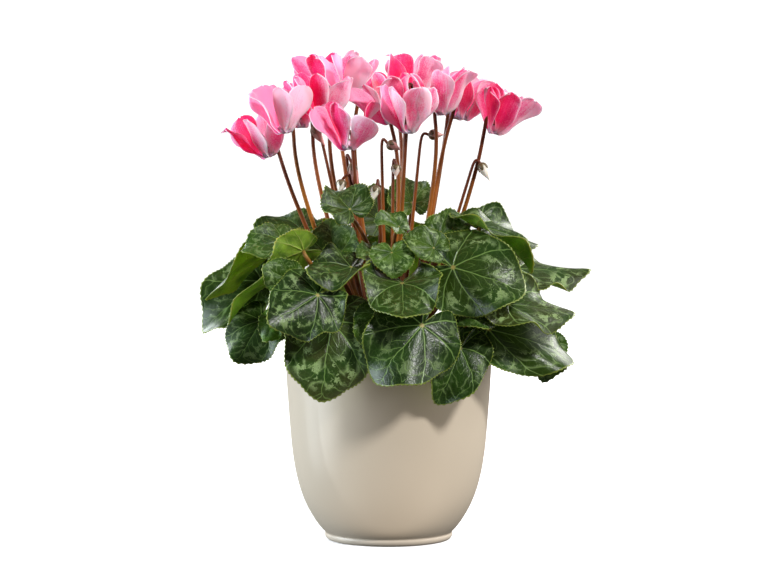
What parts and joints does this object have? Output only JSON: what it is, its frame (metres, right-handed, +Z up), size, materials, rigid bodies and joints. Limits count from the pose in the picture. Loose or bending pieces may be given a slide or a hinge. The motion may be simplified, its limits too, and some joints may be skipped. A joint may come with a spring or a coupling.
{
  "type": "potted cyclamen",
  "caption": "House plant with marbled heart-shaped leaves and upright pink swept-back blooms, growing in a smooth round glazed pot.",
  "frame": {"origin": "middle of the pot's flat foot", "axes": "+Z up through the middle of the pot, -Y towards the front of the plant"},
  "size_m": [0.2631, 0.2209, 0.3361],
  "materials": {
    "pot_glaze": "satin beige glaze",
    "soil": "loose dark peat soil",
    "stem": "smooth reddish brown stem",
    "petal": "soft pink petal, paler at the edge",
    "leaf": "dark green leaf with silver green marbling"
  },
  "bodies": {
    "root": {"pot": "pot_glaze", "soil": "soil", "crown": "stem", "bloom_01": "petal", "bloom_02": "petal", "bloom_03": "petal", "bloom_04": "petal", "bloom_05": "petal", "bloom_06": "petal", "bloom_07": "petal", "bloom_08": "petal", "bloom_09": "petal", "bloom_10": "petal", "bloom_11": "petal", "bloom_12": "petal", "bloom_13": "petal", "bloom_14": "petal", "bloom_15": "petal", "leaf_01": "leaf", "leaf_02": "leaf", "leaf_03": "leaf", "leaf_04": "leaf", "leaf_05": "leaf", "leaf_06": "leaf", "leaf_07": "leaf", "leaf_08": "leaf", "leaf_09": "leaf", "leaf_10": "leaf", "leaf_11": "leaf", "leaf_12": "leaf", "leaf_13": "leaf", "leaf_14": "leaf", "leaf_15": "leaf", "leaf_16": "leaf", "leaf_17": "leaf", "leaf_18": "leaf", "leaf_19": "leaf", "leaf_20": "leaf", "leaf_21": "leaf", "leaf_22": "leaf", "leaf_23": "leaf", "leaf_24": "leaf", "leaf_25": "leaf", "leaf_26": "leaf", "leaf_27": "leaf", "leaf_28": "leaf", "leaf_29": "leaf", "leaf_30": "leaf", "leaf_31": "leaf", "leaf_32": "leaf", "leaf_33": "leaf", "leaf_34": "leaf", "leaf_35": "leaf", "leaf_36": "leaf", "leaf_37": "leaf", "leaf_38": "leaf", "leaf_39": "leaf", "leaf_40": "leaf", "leaf_41": "leaf", "leaf_42": "leaf"}
  },
  "joints": []
}
